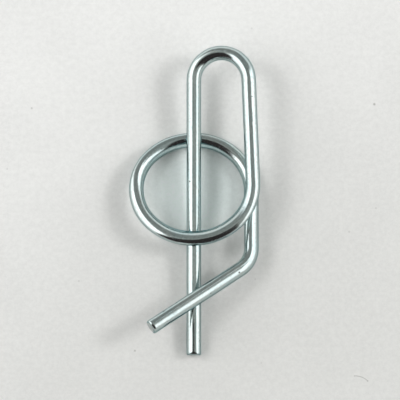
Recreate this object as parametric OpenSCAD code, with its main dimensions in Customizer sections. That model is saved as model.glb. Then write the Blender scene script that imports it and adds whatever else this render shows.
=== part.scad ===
// Spring clip pin bent from one length of round wire. The straight shank goes through the cross
// hole of a hitch pin. A closed loop at one end of it is the finger grip. The outer leg comes back
// from the loop, makes one full turn round the shank as an eye, and ends in a hook that slopes
// across the shank, so that the tip leads the clip on to the pin.
//
// The clip lies on the plane z = 0, on the tip of its shank and on the far side of its eye.
// +Y points along the shank towards the loop, and +Z points up from the surface.

/* [Wire] */
// Diameter of the spring wire
wire_d = 3.2; // [2.6:0.1:3.6]
// Width of the chamfer around each cut end
end_chamfer = 0.3; // [0.1:0.05:0.6]

/* [Shank] */
// Reach of the shank, from the middle of the eye to its tip
shank_reach = 36.7; // [34:0.1:44]

/* [Loop] */
// Reach of the closed loop, from the middle of the eye to the wire's centre line
loop_reach = 30; // [26:0.1:36]
// Distance between the shank and the outer leg at the closed end, centre to centre
loop_w = 11.9; // [10:0.1:13]
// How much higher the outer leg lies than the shank at the closed end
loop_rise = 2.1; // [1.5:0.1:3.5]

/* [Eye] */
// Inside width of the eye, across the shank
eye_w = 22.3; // [20:0.1:26]
// Inside height of the eye, along the shank
eye_h = 19.4; // [18:0.1:24]
// How far outside the eye the outer leg comes down to it
leg_out = 0.5; // [0:0.05:1]

/* [Hook] */
// Distance along the shank from the middle of the eye to the corner of the hook
hook_drop = 16.2; // [14:0.1:19]
// Height of the hook's corner above the side of the eye that lies on the surface
hook_lift = 2.1; // [1:0.1:3]
// Angle of the hook, away from square across the shank
hook_angle = 34; // [26:1:38]
// Length of the hook from its corner to its tip, as seen from above
hook_len = 26.8; // [22:0.1:30]
// Bend radius of the hook's corner, on the wire's centre line
hook_bend_r = 5.8; // [3:0.1:7]

/* [Gaps] */
// Gap where the eye passes under and over the shank
pass_gap = 0.15; // [0.1:0.05:0.4]
// Gap where the hook passes over the shank
hook_gap = 1.25; // [0.1:0.05:2]

/* [Hidden] */

wire_r = wire_d / 2;

// The wire is drawn a hair thinner where it is bent, and each straight stretch reaches a little
// way into the bends next to it. Two bends with no stretch between them keep a short collar.
bend_slim = 0.005;
bend_wire_r = wire_r - bend_slim;
bend_lap = 0.05;
collar = 0.1;

// Facets around the wire, and around a full bend
wire_fn = 48;
bend_fn = 96;

// Half the width and height of the eye on the wire's centre line
eye_a = eye_w / 2 + wire_r;
eye_b = eye_h / 2 + wire_r;

// The shank rests on the edge of its tip and rises to pass over the far side of the eye
shank_foot = shank_reach - end_chamfer;
shank_slope = (wire_d + pass_gap) / (shank_foot + eye_b);
function shank_z(y) = wire_r + (y + shank_foot) * shank_slope;

// The eye is bent at eight corners, each an eighth of a turn, from the outer leg round to the
// hook's leg. Its near side passes over the shank. From there it falls to the far side, and its
// last three corners lie on the surface. Each corner's share of the fall is in thirteenths.
eye_over_z = shank_z(-eye_b) + wire_d + pass_gap;
eye_fall = [-2, -1, 1, 5, 9, 13, 13, 13] / 13;
eye_bends = len(eye_fall);
eye_step = 360 / eye_bends;
function eye_corner(k) = let (angle = -(k + 0.5) * eye_step, out = 1 / cos(eye_step / 2))
    [eye_a * cos(angle) * out, eye_b * sin(angle) * out,
    eye_over_z - eye_fall[k] * (eye_over_z - wire_r)];

// The outer leg comes down to the line of the eye's first side, a little outside the eye
leg_foot = eye_corner(0) + leg_out * [1, eye_b / eye_a, 0];

// The hook turns off the hook's leg and climbs over the shank to its tip
hook_corner = [eye_a, -hook_drop, wire_r + hook_lift];
hook_dir = [-cos(hook_angle), -sin(hook_angle)];
hook_cross = eye_a / cos(hook_angle);
hook_over_z = shank_z(hook_corner[1] + hook_cross * hook_dir[1]) + wire_d + hook_gap;
hook_slope = (hook_over_z - hook_corner[2]) / hook_cross;
hook_tip = hook_corner + hook_len * [hook_dir[0], hook_dir[1], hook_slope];

// Corners of the wire's centre line, from the tip of the shank to the tip of the hook
path = [
    [0, -shank_reach, shank_z(-shank_reach)],
    [0, loop_reach, shank_z(loop_reach)],
    [loop_w, loop_reach, shank_z(loop_reach) + loop_rise],
    leg_foot,
    for (k = [1:eye_bends - 1]) eye_corner(k),
    hook_corner,
    hook_tip
];
last = len(path) - 1;

// Side i runs from corner i to corner i + 1, and bend i rounds corner i
function side(i) = norm(path[i + 1] - path[i]);
function heading(i) = (path[i + 1] - path[i]) / side(i);
function turn(i) = acos(heading(i - 1) * heading(i));
function hinge(i) = cross(heading(i - 1), heading(i)) / sin(turn(i));
function inward(i) = cross(hinge(i), heading(i - 1));

// A bend takes half of the shorter side next to it, so that the bends of the loop and the eye
// run into each other. Only the hook's corner has a radius of its own.
function trim(i) = i == 0 || i == last ? 0
    : i == last - 1 ? hook_bend_r * tan(turn(i) / 2)
    : (min(side(i - 1), side(i)) - collar) / 2;
function bend_r(i) = trim(i) / tan(turn(i) / 2);
function straight(i) = side(i) - trim(i) - trim(i + 1);

// How far the plane of a bend is turned round the wire from the plane of the bend before it
function roll(i) = i == 1 ? 0
    : atan2(cross(hinge(i - 1), hinge(i)) * heading(i - 1), hinge(i - 1) * hinge(i));

// How far the wire reaches in direction d: at a cut across it, and on the way round a bend
function cut_reach(p, h, r, d) = p * d + r * sqrt(max(0, 1 - pow(h * d, 2)));
function bend_reach(i, d) = let (
        start = path[i] - trim(i) * heading(i - 1),
        end = path[i] + trim(i) * heading(i),
        lean = [-inward(i) * d, heading(i - 1) * d],
        at = atan2(lean[1], lean[0])
    ) max(
        cut_reach(start, heading(i - 1), wire_r, d),
        cut_reach(end, heading(i), wire_r, d),
        at > 0 && at < turn(i)
            ? (start + bend_r(i) * inward(i)) * d + bend_r(i) * norm(lean) + bend_wire_r
            : start * d
    );
function end_reach(tip, h, d) = max(
    cut_reach(tip, h, wire_r - end_chamfer, d),
    cut_reach(tip + end_chamfer * h, h, wire_r, d)
);
function reach(d) = max(
    end_reach(path[0], heading(0), d),
    end_reach(path[last], -heading(last - 1), d),
    max([for (i = [1:last - 1]) bend_reach(i, d)])
);

// The origin is under the middle of the clip, on the surface
shift = [
    (reach([-1, 0, 0]) - reach([1, 0, 0])) / 2,
    (reach([0, -1, 0]) - reach([0, 1, 0])) / 2,
    reach([0, 0, -1])
];

module cut_end() {
    cylinder(h = end_chamfer, r1 = wire_r, r2 = wire_r - end_chamfer, $fn = wire_fn);
}

// Carries what follows from the start of a bend to its end. A bend starts along +Z and turns to +X.
module after_bend(i) {
    translate([bend_r(i), 0, 0])
        rotate([0, turn(i), 0])
            translate([-bend_r(i), 0, 0])
                children();
}

// A whole ring of wire, cut at the planes where the bend starts and ends
module bend(i) {
    size = 2 * (bend_r(i) + wire_d);
    difference() {
        translate([bend_r(i), 0, 0])
            rotate([90, 0, 0])
                rotate_extrude($fn = bend_fn)
                    translate([bend_r(i), 0]) circle(bend_wire_r, $fn = wire_fn);
        translate([-wire_d, -wire_d, -size]) cube([size, 2 * wire_d, size]);
        after_bend(i)
            translate([-wire_d, -wire_d, 0]) cube([size, 2 * wire_d, size]);
    }
}

// The wire from the start of side i to the tip of the hook
module run(i) {
    first_lap = i == 0 ? -end_chamfer : bend_lap;
    last_lap = i == last - 1 ? -end_chamfer : bend_lap;
    translate([0, 0, -first_lap])
        cylinder(h = straight(i) + first_lap + last_lap, r = wire_r, $fn = wire_fn);
    if (i == last - 1)
        translate([0, 0, straight(i) - end_chamfer]) cut_end();
    else
        translate([0, 0, straight(i)])
            rotate([0, 0, roll(i + 1)]) {
                bend(i + 1);
                after_bend(i + 1) run(i + 1);
            }
}

module clip_wire() {
    x = inward(1);
    y = hinge(1);
    z = heading(0);
    color("silver")
        translate(path[0] + shift)
            multmatrix([[x[0], y[0], z[0]], [x[1], y[1], z[1]], [x[2], y[2], z[2]]]) {
                translate([0, 0, end_chamfer]) mirror([0, 0, 1]) cut_end();
                run(0);
            }
}

clip_wire();
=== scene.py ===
"""Spring clip pin: one length of zinc plated wire, bent into a shank, a finger loop, an eye and a hook.

The add-on models the wire over the CAD part, gives it its plated finish, and lays it on pale paper
between two bright windows. Lengths are in metres. The wire's own lengthwise pattern is in
millimetres, as the length of a scratch or a speck is easier to read that way.
"""

import math

import bpy
from bpy.props import FloatProperty, FloatVectorProperty, PointerProperty
from mathutils import Matrix, Vector
from mathutils.kdtree import KDTree


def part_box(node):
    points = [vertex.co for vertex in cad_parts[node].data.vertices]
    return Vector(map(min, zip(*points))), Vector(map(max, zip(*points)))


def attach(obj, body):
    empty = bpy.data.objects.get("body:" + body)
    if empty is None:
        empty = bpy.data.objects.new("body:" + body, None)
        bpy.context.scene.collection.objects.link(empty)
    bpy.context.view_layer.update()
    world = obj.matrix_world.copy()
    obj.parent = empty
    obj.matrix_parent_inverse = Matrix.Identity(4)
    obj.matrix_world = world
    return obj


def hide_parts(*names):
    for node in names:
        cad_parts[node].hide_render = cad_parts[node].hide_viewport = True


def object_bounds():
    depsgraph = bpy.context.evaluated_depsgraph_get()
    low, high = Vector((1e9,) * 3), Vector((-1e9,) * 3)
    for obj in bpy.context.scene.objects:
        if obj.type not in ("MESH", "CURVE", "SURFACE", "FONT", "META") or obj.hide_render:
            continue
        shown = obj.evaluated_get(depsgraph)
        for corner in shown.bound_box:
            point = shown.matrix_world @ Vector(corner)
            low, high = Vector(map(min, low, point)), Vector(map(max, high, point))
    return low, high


bl_info = {
    "name": "Spring clip pin",
    "version": (1, 0, 0),
    "blender": (4, 5, 0),
    "location": "3D View > Sidebar > Clip Pin",
    "description": "Models a plated spring clip pin and the paper and light it is shown in",
    "category": "Object",
}

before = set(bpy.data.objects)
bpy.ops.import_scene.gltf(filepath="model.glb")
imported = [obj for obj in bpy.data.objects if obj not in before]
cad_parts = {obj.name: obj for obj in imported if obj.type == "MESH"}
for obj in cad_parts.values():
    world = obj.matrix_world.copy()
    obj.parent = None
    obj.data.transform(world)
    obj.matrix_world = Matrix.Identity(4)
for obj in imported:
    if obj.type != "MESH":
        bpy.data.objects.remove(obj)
CAD_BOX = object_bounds()

MM = 0.001
NODE = "clip_wire"

# The wire's vertex attributes: its place before it was bent, and how far it is out of true
DRAWN = "drawn_place"
RISE = "out_of_round"


def length(name, description, millimetres, low, high):
    """A length property, given here in millimetres."""
    return FloatProperty(
        name=name,
        description=description,
        default=millimetres * MM,
        min=low * MM,
        max=high * MM,
        precision=5,
        unit="LENGTH",
        subtype="DISTANCE",
    )


def colour(name, description, value):
    """A colour property."""
    return FloatVectorProperty(
        name=name, description=description, default=value, size=3, min=0, max=1, subtype="COLOR"
    )


def angle(name, description, degrees, low, high):
    """An angle property, given here in degrees."""
    return FloatProperty(
        name=name,
        description=description,
        default=math.radians(degrees),
        min=math.radians(low),
        max=math.radians(high),
        unit="ROTATION",
        subtype="ANGLE",
    )


def share(name, description, value, high=1.0):
    """A plain number from 0 to a limit."""
    return FloatProperty(name=name, description=description, default=value, min=0, max=high)


class ClipSizes(bpy.types.PropertyGroup):
    """The driving sizes of the bent wire, the same as the CAD part's."""

    wire_d: length("Wire", "Diameter of the spring wire", 3.2, 2.6, 3.6)
    shank_reach: length("Shank reach", "From the middle of the eye to the shank's tip", 36.7, 34, 44)
    loop_reach: length("Loop reach", "From the middle of the eye to the end of the loop", 30, 26, 36)
    loop_w: length("Loop width", "Between the shank and the outer leg, centre to centre", 11.9, 10, 13)
    loop_rise: length("Loop rise", "How much higher the outer leg starts than the shank", 2.1, 1.5, 3.5)
    eye_w: length("Eye width", "Inside width of the eye, across the shank", 22.3, 20, 26)
    eye_h: length("Eye height", "Inside height of the eye, along the shank", 19.4, 18, 24)
    leg_out: length("Leg offset", "How far outside the eye the outer leg comes down", 0.5, 0, 1)
    hook_drop: length("Hook drop", "From the middle of the eye down to the hook's corner", 16.2, 14, 19)
    hook_lift: length("Hook lift", "Height of the hook's corner over the side of the eye", 2.1, 1, 3)
    hook_angle: angle("Hook angle", "Angle of the hook, away from square across the shank", 34, 26, 38)
    hook_len: length("Hook length", "Length of the hook, as seen from above", 26.8, 22, 30)
    hook_bend_r: length("Hook bend", "Bend radius of the hook's corner", 5.8, 3, 7)
    pass_gap: length("Pass gap", "Gap where the eye passes the shank", 0.15, 0.1, 0.4)
    hook_gap: length("Hook gap", "Gap where the hook passes over the shank", 1.25, 0.1, 2)
    tip_foot: length("Tip foot", "From the shank's tip to the edge that it rests on", 0.3, 0.1, 0.6)
    edge_r: length("Cut edge", "Radius that shearing leaves round each cut end", 0.34, 0.1, 0.8)


class FinishLook(bpy.types.PropertyGroup):
    """The plated finish of the wire and the bare steel of its cut ends."""

    zinc: colour("Zinc", "Colour of the zinc plate", (0.58, 0.65, 0.64))
    zinc_cool: colour("Cool zinc", "Colour where the passivated plate looks bluer", (0.52, 0.62, 0.625))
    zinc_dull: colour("Dull zinc", "Colour of the small duller spots in the plate", (0.33, 0.37, 0.36))
    mottle: share("Mottle", "How strongly the duller spots show", 0.5)
    zinc_edge: colour("Grazing tint", "Tint of the plate at a grazing angle", (0.09, 0.27, 0.30))
    cut: colour("Cut end", "Colour of the sheared end faces", (0.50, 0.51, 0.50))
    speck: colour("Speck", "Colour of the dark specks in the plate", (0.10, 0.10, 0.09))
    gloss: share("Roughness", "Roughness of clean plate", 0.11)
    scuff: share("Scuffs", "How deep the fine scuffs are", 0.5, 2)


class StageLook(bpy.types.PropertyGroup):
    """The paper under the clip, the lamps and the camera."""

    paper: colour("Paper", "Colour of the paper", (0.89, 0.89, 0.875))
    # Painted shade: the darker colour that the paper is mixed towards at the front right, in place of
    # light falling off
    paper_painted_shade: colour("Paper in painted shade", "Colour of the paper on its dimmer side", (0.745, 0.745, 0.725))
    # Painted light: the colour that light off the plate is painted onto the paper inside the eye
    paper_painted_plate_light: colour("Painted plate light", "Colour of paper lit by the plate", (0.93, 1.0, 0.985))
    mark: colour("Marks", "Colour of the small marks in the paper", (0.20, 0.19, 0.17))
    window: share("Windows", "Brightness of the two window areas beside the clip", 2.1, 5)
    ceiling: colour("Ceiling", "Colour of the dull space straight above", (0.41, 0.42, 0.40))
    back_wall: colour("Back wall", "Colour of the dull wall behind", (0.285, 0.295, 0.285))
    back_low: colour("Back, low", "Colour of the wall behind near the table", (0.97, 1.0, 0.99))
    front: colour("Front", "Colour of the dark space in front", (0.038, 0.031, 0.031))
    lamp: share("Lamps", "Brightness of each lamp, as a number of times white", 14.1, 60)
    camera_tilt: angle("Camera tilt", "Lean of the camera from straight above, forwards", 6.84, 0, 30)
    camera_far: length("Camera distance", "Distance from the camera to the clip", 700, 300, 1500)
    view_w: length("View width", "Width that the camera sees at the clip", 88.6, 60, 200)


# The wire's route


# The eye is bent at eight corners, each an eighth of a turn. Its near side passes over the shank, and
# from there it falls to the far side. These are each corner's share of the fall, in thirteenths.
EYE_FALL = (-2, -1, 1, 5, 9, 13, 13, 13)
EYE_STEP = math.tau / len(EYE_FALL)


def eye_corner(k, eye_a, eye_b, over_z, wire_r):
    """Corner k of the eye, from the outer leg round to the hook's leg."""
    fall = EYE_FALL[k] / EYE_FALL[-1]
    turn = -(k + 0.5) * EYE_STEP
    out = 1 / math.cos(EYE_STEP / 2)
    return Vector(
        (eye_a * math.cos(turn) * out, eye_b * math.sin(turn) * out, over_z - fall * (over_z - wire_r))
    )


def corners(s):
    """Corners of the wire's centre line, from the tip of the shank to the tip of the hook."""
    r = s.wire_d / 2
    eye_a = s.eye_w / 2 + r
    eye_b = s.eye_h / 2 + r
    foot = s.shank_reach - s.tip_foot
    slope = (s.wire_d + s.pass_gap) / (foot + eye_b)

    def shank_z(y):
        return r + (y + foot) * slope

    over_z = shank_z(-eye_b) + s.wire_d + s.pass_gap
    eye = [eye_corner(k, eye_a, eye_b, over_z, r) for k in range(len(EYE_FALL))]
    leg_foot = eye[0] + s.leg_out * Vector((1, eye_b / eye_a, 0))
    hook = Vector((eye_a, -s.hook_drop, r + s.hook_lift))
    flat = Vector((-math.cos(s.hook_angle), -math.sin(s.hook_angle)))
    cross = eye_a / math.cos(s.hook_angle)
    hook_over_z = shank_z(hook.y + cross * flat.y) + s.wire_d + s.hook_gap
    climb = (hook_over_z - hook.z) / cross
    loop_z = shank_z(s.loop_reach)
    return [
        Vector((0, -s.shank_reach, shank_z(-s.shank_reach))),
        Vector((0, s.loop_reach, loop_z)),
        Vector((s.loop_w, s.loop_reach, loop_z + s.loop_rise)),
        leg_foot,
        *eye[1:],
        hook,
        hook + s.hook_len * Vector((flat.x, flat.y, climb)),
    ]


def stretches(points, hook_bend_r):
    """The route as straight stretches and round bends, in order.

    A bend takes half of the shorter side next to it, so that the bends of the loop and the eye run
    into each other. Only the hook's corner has a radius of its own.
    """
    headings = [(b - a).normalized() for a, b in zip(points, points[1:])]
    sides = [(b - a).length for a, b in zip(points, points[1:])]
    parts = []
    start = points[0]
    for i in range(1, len(points) - 1):
        before = headings[i - 1]
        after = headings[i]
        turn = before.angle(after)
        if i == len(points) - 2:
            trim = hook_bend_r * math.tan(turn / 2)
        else:
            trim = min(sides[i - 1], sides[i]) / 2
        radius = trim / math.tan(turn / 2)
        hinge = before.cross(after).normalized()
        bend_start = points[i] - trim * before
        parts.append({"start": start, "end": bend_start, "heading": before})
        centre = bend_start + radius * hinge.cross(before)
        bend = {"start": bend_start, "centre": centre, "hinge": hinge, "turn": turn, "heading": before}
        parts.append(bend)
        start = points[i] + trim * after
    parts.append({"start": start, "end": points[-1], "heading": headings[-1]})
    return parts


def stations(parts, step):
    """Places along the centre line: distance from the tip, point, heading and an axis across it."""
    side = parts[1]["hinge"].copy()
    run = 0.0
    found = []
    for part in parts:
        if "turn" in part:
            arm = part["start"] - part["centre"]
            far = arm.length * part["turn"]
            count = max(1, round(far / step))
            for k in range(count):
                spin = Matrix.Rotation(part["turn"] * k / count, 3, part["hinge"])
                ahead = spin @ part["heading"]
                found.append((run + far * k / count, part["centre"] + spin @ arm, ahead, spin @ side))
            side = Matrix.Rotation(part["turn"], 3, part["hinge"]) @ side
        else:
            gap = part["end"] - part["start"]
            far = gap.length
            count = max(1, round(far / step))
            for k in range(count):
                point = part["start"] + gap * k / count
                found.append((run + far * k / count, point, part["heading"], side))
        run += far
    found.append((run, parts[-1]["end"], parts[-1]["heading"], side))
    return found


# Modelling


# The drawn wire keeps a hair inside the CAD part, whose facets cut a little off its bends
INSIDE = 0.006 * MM

# How finely the wire is divided: round it, along its straights, round its bends and over its rims
WIRE_SIDES = 96
RING_STEP = 0.8 * MM
BEND_STEP = math.radians(4)
EDGE_SEGMENTS = 6
SMOOTH_ANGLE = math.radians(35)

# The end faces are dished in two steps, each given as its width and its depth
DISH = ((0.12 * MM, -0.02 * MM), (0.45 * MM, -0.03 * MM))

# Points closer than MERGE are one point, and a stretch shorter than NO_STRETCH isn't drawn
MERGE = MM / 2000
NO_STRETCH = MM / 1000


def deselect_all():
    """Leaves nothing selected, as the CAD part is selected when it is loaded."""
    if bpy.context.object and bpy.context.object.mode != "OBJECT":
        bpy.ops.object.mode_set(mode="OBJECT")
    bpy.ops.object.select_all(action="DESELECT")


def bend_wire(parts, radius):
    """A ring of edges at the shank's tip, drawn out along each stretch and spun round each bend.

    The spin tool turns clockwise for a positive angle, hence the minus.
    """
    deselect_all()
    first = parts[0]
    bpy.ops.mesh.primitive_circle_add(
        vertices=WIRE_SIDES,
        radius=radius,
        fill_type="NOTHING",
        location=first["start"],
        rotation=first["heading"].to_track_quat("Z", "X").to_euler(),
    )
    wire = bpy.context.object
    wire.name = "plated_clip_wire"
    wire.data.name = wire.name
    bpy.ops.object.transform_apply(location=True, rotation=True, scale=True)
    bpy.ops.object.mode_set(mode="EDIT")
    bpy.ops.mesh.select_mode(type="EDGE")
    bpy.ops.mesh.select_all(action="SELECT")
    for part in parts:
        if "turn" in part:
            bpy.ops.mesh.spin(
                steps=max(1, round(part["turn"] / BEND_STEP)),
                angle=-part["turn"],
                center=part["centre"],
                axis=part["hinge"],
                use_auto_merge=False,
            )
            continue
        gap = part["end"] - part["start"]
        if gap.length < NO_STRETCH:
            continue
        count = max(1, round(gap.length / RING_STEP))
        for _ in range(count):
            bpy.ops.mesh.extrude_region_move(TRANSFORM_OT_translate={"value": gap / count})
    return wire


def select_open_rims():
    """Selects the rims of the wire's two open ends."""
    bpy.ops.mesh.select_all(action="DESELECT")
    bpy.ops.mesh.select_non_manifold()


def select_end_faces(wire):
    """Selects the two round end faces, which are the only faces with that many sides."""
    bpy.ops.mesh.select_mode(type="FACE")
    bpy.ops.mesh.select_all(action="DESELECT")
    bpy.ops.object.mode_set(mode="OBJECT")
    for face in wire.data.polygons:
        face.select = len(face.vertices) == WIRE_SIDES
    bpy.ops.object.mode_set(mode="EDIT")


def close_ends(wire, edge_r):
    """Fills both open ends, rounds their rims as shearing does, and dishes the faces a little."""
    select_open_rims()
    bpy.ops.mesh.fill_holes(sides=0)
    select_end_faces(wire)
    bpy.ops.mesh.bevel(offset=edge_r, segments=EDGE_SEGMENTS, profile=0.5, affect="EDGES")
    select_end_faces(wire)
    for width, depth in DISH:
        bpy.ops.mesh.inset(thickness=width, depth=depth, use_individual=True)
    bpy.ops.mesh.poke()


def finish_mesh():
    """Merges doubles, points the faces outwards and shades the wire smooth round its cut ends."""
    bpy.ops.mesh.select_all(action="SELECT")
    bpy.ops.mesh.remove_doubles(threshold=MERGE)
    bpy.ops.mesh.normals_make_consistent(inside=False)
    bpy.ops.object.mode_set(mode="OBJECT")
    bpy.ops.object.shade_smooth_by_angle(angle=SMOOTH_ANGLE)


# Places along the centre line are this far apart where points of the mesh are looked up
FINE_STEP = 0.25 * MM

# Where bending has left the wire a little out of true: the distance along it in millimetres, how
# steeply its top leans up towards the right of its heading, and how steeply it rises along it
LEAN = (
    (0, 0, 0.075), (6.5, 0, 0.075), (9, 0, 0), (48, 0, 0), (54, 0, 0.05), (59, 0, 0.05), (61, 0, 0),
    (65, -0.15, 0), (73, -0.15, 0), (77, 0, 0), (104, 0, 0), (112, -0.15, 0), (128, -0.15, 0),
    (140, -0.05, 0), (148, -0.32, 0), (157, -0.28, 0), (172, -0.16, 0), (178, 0, 0), (183, 0, 0),
    (188, 0.16, 0), (195, 0.16, 0), (199, 0.28, 0), (225, 0.28, 0),
)


def lean_at(run):
    """How steeply the wire leans across and rises along it, at a distance in millimetres."""
    for (start, *low), (end, *high) in zip(LEAN, LEAN[1:]):
        if start <= run < end:
            t = (run - start) / (end - start)
            t = t * t * (3 - 2 * t)
            return tuple(a + (b - a) * t for a, b in zip(low, high))
    return 0.0, 0.0


def right_of(heading):
    """The level direction to the right of a heading."""
    return Vector((heading.y, -heading.x, 0)).normalized()


def store_drawn_place(wire, parts):
    """Keeps, for each vertex, where it was on the straight wire before that was bent, in millimetres.

    X and Y lie across the wire and Z along it, so that scratches and grain follow every bend. How
    far the surface rises where the wire is out of true is kept as well.
    """
    line = stations(parts, FINE_STEP)
    tree = KDTree(len(line))
    for k, (_, point, _, _) in enumerate(line):
        tree.insert(point, k)
    tree.balance()
    wire.data.attributes.new(DRAWN, "FLOAT_VECTOR", "POINT")
    wire.data.attributes.new(RISE, "FLOAT", "POINT")
    drawn = wire.data.attributes[DRAWN].data
    rise = wire.data.attributes[RISE].data
    lifts = [0.0]
    for (start, *_), (end, *_) in zip(line, line[1:]):
        lifts.append(lifts[-1] + lean_at((start + end) / 2 / MM)[1] * (end - start) / MM)
    for vertex in wire.data.vertices:
        k = tree.find(vertex.co)[1]
        run, point, ahead, side = line[k]
        off = vertex.co - point
        across = Vector((off.dot(side), off.dot(ahead.cross(side)), run + off.dot(ahead)))
        drawn[vertex.index].vector = across / MM
        lean, climb = lean_at(across.z / MM)
        tilted = lean * off.dot(right_of(ahead)) + climb * off.dot(ahead)
        rise[vertex.index].value = lifts[k] + tilted / MM


# Where a face has the sheared finish: how near to an end of the wire it lies, in millimetres, and how
# far in from the wire's side it starts, as a share of the rim's radius
END_REACH = 0.1
PLATED_RIM = 0.8


def paint_ends(wire, total, sizes):
    """Gives the flat end faces the sheared finish. The wire's whole length is in millimetres."""
    drawn = wire.data.attributes[DRAWN].data
    flat = (sizes.wire_d / 2 - PLATED_RIM * sizes.edge_r) / MM
    for face in wire.data.polygons:
        runs = [drawn[v].vector.z for v in face.vertices]
        reach = max(drawn[v].vector.xy.length for v in face.vertices)
        at_end = max(runs) < END_REACH or min(runs) > total - END_REACH
        if at_end and reach < flat:
            face.material_index = 1


def seat(wire):
    """Moves the wire to the CAD part's place, which has the same box."""
    low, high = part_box(NODE)
    points = [v.co for v in wire.data.vertices]
    own_low = Vector([min(p[k] for p in points) for k in range(3)])
    own_high = Vector([max(p[k] for p in points) for k in range(3)])
    shift = (low + high - own_low - own_high) / 2
    shift.z = low.z - own_low.z
    wire.data.transform(Matrix.Translation(shift))


# Materials


def new_node(tree, kind, inputs=None, **settings):
    """Adds a node, sets its properties, and fills or links its inputs by name or number."""
    made = tree.nodes.new(kind)
    for name, value in settings.items():
        setattr(made, name, value)
    for name, value in (inputs or {}).items():
        if isinstance(value, bpy.types.NodeSocket):
            tree.links.new(value, made.inputs[name])
        else:
            made.inputs[name].default_value = value
    return made


def maths(tree, operation, *values):
    """A Math node's result."""
    made = new_node(tree, "ShaderNodeMath", dict(enumerate(values)), operation=operation)
    return made.outputs[0]


def ramp(tree, value, low, high, to_low=0.0, to_high=1.0):
    """A smooth step from one value to another."""
    made = new_node(
        tree,
        "ShaderNodeMapRange",
        {"Value": value, "From Min": low, "From Max": high, "To Min": to_low, "To Max": to_high},
        interpolation_type="SMOOTHSTEP",
    )
    return made.outputs["Result"]


def over_ramps(tree, *steps):
    """The product of smooth steps from 0 to 1, each given as its value, its start and its end."""
    product = None
    for value, start, end in steps:
        falls = float(start > end)
        step = ramp(tree, value, min(start, end), max(start, end), falls, 1 - falls)
        product = step if product is None else maths(tree, "MULTIPLY", product, step)
    return product


def mix_colour(tree, share_of_b, a, b):
    """Two colours mixed."""
    made = new_node(tree, "ShaderNodeMix", {"Factor": share_of_b}, data_type="RGBA")
    for slot, value in (("A_Color", a), ("B_Color", b)):
        socket = next(x for x in made.inputs if x.identifier == slot)
        if isinstance(value, bpy.types.NodeSocket):
            tree.links.new(value, socket)
        else:
            socket.default_value = (*value, 1)
    return next(x for x in made.outputs if x.identifier == "Result_Color")


def distance(tree, a, b):
    """How far one place is from another."""
    made = new_node(tree, "ShaderNodeVectorMath", {0: a, 1: b}, operation="DISTANCE")
    return made.outputs["Value"]


def noise(tree, vector, scale, detail=2.0, stretch=(1, 1, 1), roughness=0.5):
    """Noise on a vector, finer along the axes that are stretched more."""
    placed = new_node(tree, "ShaderNodeMapping", {"Vector": vector, "Scale": stretch})
    made = new_node(
        tree,
        "ShaderNodeTexNoise",
        {"Vector": placed.outputs[0], "Scale": scale, "Detail": detail, "Roughness": roughness},
    )
    return made.outputs["Fac"]


def bump(tree, height, depth, **inputs):
    """A Bump node's normal."""
    given = {"Strength": 1.0, **inputs, "Height": height, "Distance": depth}
    return new_node(tree, "ShaderNodeBump", given).outputs[0]


def new_group(name, inputs, outputs):
    """A shader node group with named inputs, given as name: (type, default), and named outputs."""
    group = bpy.data.node_groups.new(name, "ShaderNodeTree")
    for socket, (kind, default) in inputs.items():
        made = group.interface.new_socket(socket, in_out="INPUT", socket_type=kind)
        if default is not None:
            made.default_value = default
    for socket, kind in outputs.items():
        group.interface.new_socket(socket, in_out="OUTPUT", socket_type=kind)
    return group, group.nodes.new("NodeGroupInput").outputs, group.nodes.new("NodeGroupOutput")


# How high the slow waves of the wire's surface are, and how deep a scuff is, against its lines
WAVE_HEIGHT = 5.0
SCUFF_DEPTH = -0.8


def wire_surface_group():
    """Fine relief that both finishes share, and a mask of its worn places.

    The relief is made of drawing lines, slow waves, grain and scuffs.
    """
    group, given, out = new_group(
        "Wire surface",
        {
            "Place": ("NodeSocketVector", None),
            "Lines": ("NodeSocketFloat", 1.0),
            "Scuffs": ("NodeSocketFloat", 1.0),
            "Grain": ("NodeSocketFloat", 1.0),
        },
        {"Height": "NodeSocketFloat", "Worn": "NodeSocketFloat", "Tone": "NodeSocketFloat"},
    )
    place = given["Place"]
    lines = noise(group, place, 3.2, 3, (1, 1, 0.035))
    wave = noise(group, place, 0.55, 1.5, (1, 1, 0.6))
    grain = noise(group, place, 9.0, 2.5, roughness=0.65)
    scuffs = ramp(group, noise(group, place, 1.6, 4, (1, 1, 3.4), roughness=0.7), 0.60, 0.74)
    smooth = maths(
        group,
        "ADD",
        maths(group, "MULTIPLY", lines, given["Lines"]),
        maths(group, "MULTIPLY", wave, WAVE_HEIGHT),
    )
    broken = maths(
        group,
        "ADD",
        maths(group, "MULTIPLY", grain, given["Grain"]),
        maths(group, "MULTIPLY", scuffs, maths(group, "MULTIPLY", given["Scuffs"], SCUFF_DEPTH)),
    )
    height = maths(group, "ADD", smooth, broken)
    tone = noise(group, place, 0.32, 3, (1, 1, 0.45), roughness=0.6)
    for name, value in (("Height", height), ("Worn", scuffs), ("Tone", tone)):
        group.links.new(value, out.inputs[name])
    return group


# Specks that are easily seen: the distance along the wire in millimetres, how far to the right of its
# middle as a share of its radius, and the radius of the speck in millimetres
SPECKS = (
    (3.2, 0.80, 0.16), (35.3, 0.84, 0.15), (38.4, -0.55, 0.20), (43.0, 0.10, 0.10),
    (52.4, -0.42, 0.12), (84.0, -0.35, 0.16), (89.5, -0.30, 0.13), (200.0, -0.38, 0.24),
    (208.0, -0.62, 0.18), (219.0, 0.84, 0.24),
)


def speck_places(parts, radius):
    """Each named speck's place on the straight wire, in millimetres, and its radius."""
    line = stations(parts, FINE_STEP)
    found = []
    for run, lateral, size in SPECKS:
        _, _, ahead, side = min(line, key=lambda place: abs(place[0] - run * MM))
        right = right_of(ahead)
        off = radius / MM * (lateral * right + math.sqrt(1 - lateral**2) * right.cross(ahead))
        found.append(((off.dot(side), off.dot(ahead.cross(side)), run), size))
    return found


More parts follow.
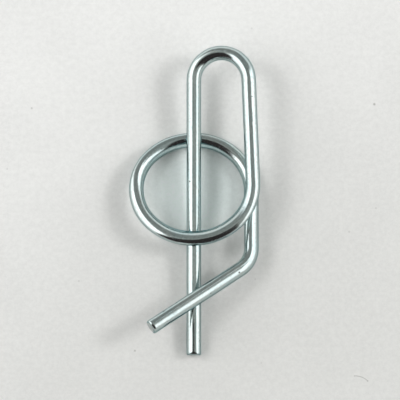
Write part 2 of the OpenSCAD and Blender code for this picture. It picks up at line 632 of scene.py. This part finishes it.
# How many cells of the plate there are to a millimetre, the smallest speck that a cell may hold and
# how much larger it may be, in cells, and the share of the cells that hold one
SPECK_CELLS = 0.55
SPECK_LEAST = 0.02
SPECK_MORE = 0.045
SPECKED = 0.22


def speck_group(places):
    """A mask of small round pits: many faint ones at random, and a few at named places."""
    group, given, out = new_group(
        "Plate specks",
        {"Place": ("NodeSocketVector", None), "Amount": ("NodeSocketFloat", 0.5)},
        {"Mask": "NodeSocketFloat"},
    )
    place = given["Place"]
    cells = new_node(
        group, "ShaderNodeTexVoronoi", {"Vector": place, "Scale": SPECK_CELLS, "Randomness": 1.0}
    )
    pick = new_node(group, "ShaderNodeSeparateColor", {"Color": cells.outputs["Color"]})
    chosen = maths(group, "LESS_THAN", pick.outputs["Red"], given["Amount"])
    size = maths(group, "MULTIPLY_ADD", pick.outputs["Green"], SPECK_MORE, SPECK_LEAST)
    near = maths(group, "LESS_THAN", cells.outputs["Distance"], size)
    mask = maths(group, "MULTIPLY", near, chosen)
    for middle, size in places:
        pit = ramp(group, distance(group, place, middle), size * 0.5, size * 1.2, 0.9, 0)
        mask = maths(group, "MAXIMUM", mask, pit)
    group.links.new(mask, out.inputs["Mask"])
    return group


def drawn_place(tree):
    """The vertex attribute that says where a point was on the straight wire."""
    return new_node(tree, "ShaderNodeAttribute", attribute_name=DRAWN).outputs["Vector"]


def place_group(tree, group, inputs):
    """A group node's outputs, with its inputs filled or linked."""
    return new_node(tree, "ShaderNodeGroup", inputs, node_tree=group).outputs


def new_material(name):
    """An empty node material, with its Principled shader."""
    material = bpy.data.materials.new(name)
    material.use_nodes = True
    return material, material.node_tree, material.node_tree.nodes["Principled BSDF"]


# How far shearing has rolled the surface in at each cut end, and how deep, in millimetres
ROLL_LENGTH = 0.75
ROLL_DROP = 0.26

# The depth that a relief of 1 stands for, on each surface
PLATE_RELIEF = 0.006 * MM
CUT_RELIEF = 0.02 * MM
PAPER_RELIEF = 0.03 * MM


def plated_material(look, surface, specks, total):
    """Bright zinc plate: pale blue in patches, fine drawing lines, scuffs and a few dark specks.

    The wire's whole length is in millimetres.
    """
    material, tree, shader = new_material("bright_zinc_plate")
    place = drawn_place(tree)
    relief = place_group(
        tree, surface, {"Place": place, "Lines": 0.5, "Scuffs": look.scuff, "Grain": 0.4}
    )
    dots = place_group(tree, specks, {"Place": place, "Amount": SPECKED})["Mask"]
    cool = ramp(tree, relief["Tone"], 0.42, 0.66)
    spots = noise(tree, place, 2.6, 3, (1, 1, 0.6), roughness=0.75)
    mottle = ramp(tree, spots, 0.46, 0.72, 0, look.mottle)
    plate = mix_colour(tree, mottle, mix_colour(tree, cool, look.zinc, look.zinc_cool), look.zinc_dull)
    tree.links.new(mix_colour(tree, dots, plate, look.speck), shader.inputs["Base Color"])
    worn = maths(tree, "MULTIPLY_ADD", relief["Worn"], 0.16, look.gloss)
    rough = maths(tree, "MULTIPLY_ADD", relief["Tone"], 0.08, worn)
    tree.links.new(maths(tree, "MULTIPLY_ADD", dots, 0.4, rough), shader.inputs["Roughness"])
    shader.inputs["Metallic"].default_value = 1
    shader.inputs["Specular Tint"].default_value = (*look.zinc_edge, 1)
    height = maths(tree, "SUBTRACT", relief["Height"], maths(tree, "MULTIPLY", dots, 0.8))
    rise = new_node(tree, "ShaderNodeAttribute", attribute_name=RISE).outputs["Fac"]
    run = new_node(tree, "ShaderNodeSeparateXYZ", {"Vector": place}).outputs["Z"]
    near = maths(tree, "MINIMUM", run, maths(tree, "SUBTRACT", total, run))
    into_roll = maths(tree, "MAXIMUM", maths(tree, "MULTIPLY_ADD", near, -1 / ROLL_LENGTH, 1.0), 0.0)
    drop = maths(tree, "MULTIPLY", maths(tree, "MULTIPLY", into_roll, into_roll), -ROLL_DROP)
    tilted = bump(tree, maths(tree, "ADD", rise, drop), MM)
    tree.links.new(bump(tree, height, PLATE_RELIEF, Normal=tilted), shader.inputs["Normal"])
    return material


def cut_material(look, surface):
    """The sheared end faces: duller steel under thin plate, with the shear's parallel lines."""
    material, tree, shader = new_material("sheared_end")
    place = drawn_place(tree)
    relief = place_group(tree, surface, {"Place": place, "Lines": 0.4, "Scuffs": 1.0, "Grain": 1.2})
    shear = noise(tree, place, 2.2, 3, (5, 0.4, 1), roughness=0.6)
    tree.links.new(
        mix_colour(tree, ramp(tree, shear, 0.4, 0.65), look.cut, look.zinc), shader.inputs["Base Color"]
    )
    tree.links.new(ramp(tree, shear, 0.3, 0.7, 0.28, 0.42), shader.inputs["Roughness"])
    shader.inputs["Metallic"].default_value = 1
    height = maths(tree, "MULTIPLY_ADD", shear, 3.0, relief["Height"])
    tree.links.new(bump(tree, height, CUT_RELIEF), shader.inputs["Normal"])
    return material


# Painted light off the plate tints the paper inside the eye: its middle, and where the tint starts and
# ends
EYE_MIDDLE = Vector((0, 2.6, 0)) * MM
PAINTED_LIGHT_REACH = (6 * MM, 15 * MM)

# Small marks in the paper, in millimetres: across, along, radius, and how strongly each shows
MARKS = (
    (40.2, 22.2, 0.40, 0.50), (-13.2, -33.0, 0.34, 0.42), (-36.4, 21.3, 0.32, 0.32),
    (40.4, -1.2, 0.30, 0.25), (-25.7, -17.5, 0.30, 0.22), (34.4, -6.5, 0.30, 0.22),
    (13.5, -17.1, 0.28, 0.20), (14.8, -35.7, 0.28, 0.18), (12.8, 39.4, 0.28, 0.18),
    (-41.8, 7.6, 0.28, 0.20), (38.3, -39.7, 0.26, 0.45), (35.4, -38.6, 0.22, 0.35),
)

# A short curled fibre on the paper, in millimetres: the middle and radius of its curl, where it
# starts and ends across, and how strongly it shows
CURL_MIDDLE = (35.56, -42.61)
CURL_R = 4.02
CURL_ENDS = (35.3, 38.4)
CURL_SHOWS = 0.45


def paper_marks(tree, here):
    """How strongly the small marks and the fibre show at a place on the paper."""
    x, y, _ = new_node(tree, "ShaderNodeSeparateXYZ", {"Vector": here}).outputs
    mask = None
    for across, along, size, depth in MARKS:
        far = distance(tree, here, Vector((across, along, 0)) * MM)
        spot = ramp(tree, far, size * 0.3 * MM, size * MM, depth, 0)
        mask = spot if mask is None else maths(tree, "MAXIMUM", mask, spot)
    far = distance(tree, here, Vector((*CURL_MIDDLE, 0)) * MM)
    off = maths(tree, "ABSOLUTE", maths(tree, "SUBTRACT", far, CURL_R * MM))
    start, end = CURL_ENDS
    fibre = over_ramps(
        tree,
        (off, 0.14 * MM, 0.04 * MM),
        (x, (start - 0.1) * MM, (start + 0.1) * MM),
        (x, (end + 0.1) * MM, (end - 0.1) * MM),
        (y, CURL_MIDDLE[1] * MM, (CURL_MIDDLE[1] + 0.1) * MM),
    )
    return maths(tree, "MAXIMUM", mask, maths(tree, "MULTIPLY", fibre, CURL_SHOWS))


def paper_material(look):
    """Smooth pale paper with a faint fibre grain, and painted shade that dims it a little towards the
    front right.
    """
    material, tree, shader = new_material("pale_paper")
    here = new_node(tree, "ShaderNodeTexCoord").outputs["Object"]
    axes = new_node(tree, "ShaderNodeSeparateXYZ", {"Vector": here}).outputs
    # Painted shade: the paper's colour darkens along a slant towards the front right, standing in for
    # light falling off there
    slant = maths(tree, "SUBTRACT", maths(tree, "MULTIPLY", axes["X"], 0.45), axes["Y"])
    paper = mix_colour(tree, ramp(tree, slant, -0.055, 0.055), look.paper, look.paper_painted_shade)
    fibre = noise(tree, here, 900, 5, roughness=0.8)
    patch = noise(tree, here, 60, 2)
    fine_tone = ramp(tree, fibre, 0.3, 0.7, -0.045, 0.045)
    wide_tone = ramp(tree, patch, 0.3, 0.7, -0.014, 0.014)
    tone = maths(tree, "ADD", maths(tree, "ADD", fine_tone, wide_tone), 1.0)
    # Painted light: the paper inside the eye is mixed towards the colour of light off the plate
    tint = ramp(tree, distance(tree, here, EYE_MIDDLE), *PAINTED_LIGHT_REACH, 1, 0)
    paper_with_painted_light = mix_colour(tree, tint, paper, look.paper_painted_plate_light)
    toned = new_node(tree, "ShaderNodeHueSaturation", {"Value": tone, "Color": paper_with_painted_light})
    marked = mix_colour(tree, paper_marks(tree, here), toned.outputs[0], look.mark)
    tree.links.new(marked, shader.inputs["Base Color"])
    shader.inputs["Roughness"].default_value = 0.9
    shader.inputs["Specular IOR Level"].default_value = 0.15
    tree.links.new(bump(tree, fibre, PAPER_RELIEF, Strength=0.25), shader.inputs["Normal"])
    return material


# Stage


# Each window: its side, how much its inner edge draws in behind the clip, how far out in the sky that
# edge starts and is full, and its front and back edges as bearings from the front, in degrees. How far
# back the drawing in starts comes last.
WINDOWS = (
    (1, 2.2, (0.62, 0.74), (38, 48), (128, 115)),
    (-1, 0.6, (0.42, 0.50), (-44, -54), (-132, -116)),
)
DRAWN_IN_FROM = 0.08

# The dark space in front: its left and right edges as bearings, its back edge, and that edge's slant
DARK_LEFT = (-54, -46)
DARK_RIGHT = (46, 38)
DARK_BACK = (-0.08, -0.18)
DARK_SLANT = 0.4

# Heights in the sky over which the windows dim, and to what share, the back wall darkens, and the
# haze over the table thins out, then how far back the ceiling gives way to the back wall
WINDOW_DIM = (0.25, 0.75)
WINDOW_LOW = 0.78
WALL_DARKENS = (0.28, 0.62)
HAZE_TOP = (0.0, 0.10)
CEILING_END = (0.0, 0.10)


def light_world(look):
    """Surroundings: two windows, a dull wall behind and above, and a dark space in front."""
    world = bpy.data.worlds.new("two_windows")
    bpy.context.scene.world = world
    world.use_nodes = True
    tree = world.node_tree
    ahead = new_node(tree, "ShaderNodeTexCoord").outputs["Generated"]
    x, y, z = new_node(tree, "ShaderNodeSeparateXYZ", {"Vector": ahead}).outputs
    turned = maths(tree, "ARCTAN2", x, maths(tree, "MULTIPLY", y, -1.0))
    behind = maths(tree, "MAXIMUM", maths(tree, "SUBTRACT", y, DRAWN_IN_FROM), 0.0)

    def bearings(edge):
        """A step over bearings, for over_ramps."""
        return (turned, *map(math.radians, edge))

    areas = []
    for way, slant, reach, front, back in WINDOWS:
        out = maths(tree, "MULTIPLY_ADD", behind, slant, maths(tree, "MULTIPLY", x, float(way)))
        areas.append(over_ramps(tree, (out, *reach), bearings(front), bearings(back)))
    window = maths(tree, "MAXIMUM", *areas)
    edge = maths(tree, "MULTIPLY_ADD", x, DARK_SLANT, y)
    dark = over_ramps(tree, bearings(DARK_LEFT), bearings(DARK_RIGHT), (edge, *DARK_BACK))
    wall = mix_colour(tree, ramp(tree, z, *WALL_DARKENS, 1, 0), look.back_wall, look.back_low)
    above = mix_colour(tree, ramp(tree, y, *CEILING_END), look.ceiling, wall)
    dull = mix_colour(tree, dark, above, look.front)
    strength = ramp(tree, z, *WINDOW_DIM, look.window * WINDOW_LOW, look.window)
    bright = new_node(tree, "ShaderNodeCombineXYZ", {0: strength, 1: strength, 2: strength}).outputs[0]
    room = mix_colour(tree, window, dull, bright)
    haze = maths(tree, "MULTIPLY", ramp(tree, z, *HAZE_TOP, 1, 0), maths(tree, "SUBTRACT", 1.0, dark))
    sky = mix_colour(tree, haze, room, look.paper)
    tree.links.new(sky, tree.nodes["Background"].inputs["Color"])


# Each lamp's direction from the clip and its share of the brightness, then their distance, and
# half the angle that each fills as seen from the clip
LAMPS = {
    "right_lamp": ((1.156, 0.19, 1.0), 1.0),
    "left_lamp": ((-0.90, 0.26, 1.0), 0.48),
}
LAMP_FAR = 0.9
LAMP_SPREAD = math.radians(7.2)


def add_lamps(look, target):
    """Two soft round lamps, one high on each side."""
    for name, (way, part) in LAMPS.items():
        radius = LAMP_FAR * math.tan(LAMP_SPREAD)
        place = target + LAMP_FAR * Vector(way).normalized()
        bpy.ops.object.light_add(type="AREA", location=place)
        lamp = bpy.context.object
        lamp.name = name
        lamp.data.shape = "DISK"
        lamp.data.size = 2 * radius
        lamp.data.energy = look.lamp * part * math.pi * math.pi * radius**2
        lamp.visible_glossy = False
        lamp.rotation_euler = (target - place).to_track_quat("-Z", "Y").to_euler()


# The sheet of paper, in metres
PAPER_R = 2.5
PAPER_SIDES = 96


def lay_paper(look):
    """A round sheet of pale paper, with its edge far outside the view."""
    deselect_all()
    bpy.ops.mesh.primitive_circle_add(
        vertices=PAPER_SIDES, radius=PAPER_R, fill_type="NGON", location=(0, 0, CAD_BOX[0].z)
    )
    paper = bpy.context.object
    paper.name = "paper"
    bpy.ops.object.transform_apply(location=True)
    paper.data.materials.append(paper_material(look))


# Where the camera aims: right of the clip's middle, behind it, and above the paper. The width of its
# sensor is in millimetres.
AIM = Vector((1.22, 0.13, 4.16)) * MM
SENSOR_W = 36


def add_camera(look, target):
    """A long lens, nearly straight above the clip."""
    lean = look.camera_tilt
    place = target + look.camera_far * Vector((0, -math.sin(lean), math.cos(lean)))
    bpy.ops.object.camera_add(location=place, rotation=(lean, 0, 0))
    camera = bpy.context.object
    camera.name = "camera"
    camera.data.sensor_width = SENSOR_W
    camera.data.lens = SENSOR_W * look.camera_far / look.view_w
    bpy.context.scene.camera = camera


# Operators and panel


class CLIPPIN_OT_add_wire(bpy.types.Operator):
    """Models the bent, plated wire in place of the CAD part"""

    bl_idname = "clippin.add_wire"
    bl_label = "Add Clip Wire"

    def execute(self, context):
        sizes = context.scene.clip_sizes
        look = context.scene.clip_finish
        parts = stretches(corners(sizes), sizes.hook_bend_r)
        wire = bend_wire(parts, sizes.wire_d / 2 - INSIDE)
        close_ends(wire, sizes.edge_r)
        finish_mesh()
        store_drawn_place(wire, parts)
        seat(wire)
        surface = wire_surface_group()
        specks = speck_group(speck_places(parts, sizes.wire_d / 2))
        total = stations(parts, MM)[-1][0] / MM
        wire.data.materials.append(plated_material(look, surface, specks, total))
        wire.data.materials.append(cut_material(look, surface))
        paint_ends(wire, total, sizes)
        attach(wire, "root")
        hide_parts(NODE)
        return {"FINISHED"}


class CLIPPIN_OT_add_stage(bpy.types.Operator):
    """Lays the paper and sets up the light and the camera"""

    bl_idname = "clippin.add_stage"
    bl_label = "Add Stage"

    def execute(self, context):
        look = context.scene.clip_stage
        lay_paper(look)
        light_world(look)
        middle = (CAD_BOX[0] + CAD_BOX[1]) / 2
        add_lamps(look, middle)
        add_camera(look, Vector((middle.x, middle.y, CAD_BOX[0].z)) + AIM)
        context.scene.view_settings.view_transform = "Standard"
        return {"FINISHED"}


class CLIPPIN_PT_sidebar(bpy.types.Panel):
    """Lists the steps and their settings"""

    bl_idname = "CLIPPIN_PT_sidebar"
    bl_label = "Clip Pin"
    bl_space_type = "VIEW_3D"
    bl_region_type = "UI"
    bl_category = "Clip Pin"

    def draw(self, context):
        for group, button in (
            ("clip_sizes", "clippin.add_wire"),
            ("clip_finish", None),
            ("clip_stage", "clippin.add_stage"),
        ):
            settings = getattr(context.scene, group)
            box = self.layout.box()
            for name in settings.bl_rna.properties.keys():
                if name not in ("rna_type", "name"):
                    box.prop(settings, name)
            if button:
                box.operator(button)


SETTINGS = {"clip_sizes": ClipSizes, "clip_finish": FinishLook, "clip_stage": StageLook}
CLASSES = (*SETTINGS.values(), CLIPPIN_OT_add_wire, CLIPPIN_OT_add_stage, CLIPPIN_PT_sidebar)


def register():
    """Adds the classes, and the settings to each scene."""
    for item in CLASSES:
        bpy.utils.register_class(item)
    for name, group in SETTINGS.items():
        setattr(bpy.types.Scene, name, PointerProperty(type=group))


def unregister():
    """Takes the settings and the classes away again."""
    for name in SETTINGS:
        delattr(bpy.types.Scene, name)
    for item in reversed(CLASSES):
        bpy.utils.unregister_class(item)


def main():
    """Makes the stage and the clip."""
    register()
    bpy.ops.clippin.add_stage()
    bpy.ops.clippin.add_wire()


if __name__ == "__main__":
    main()
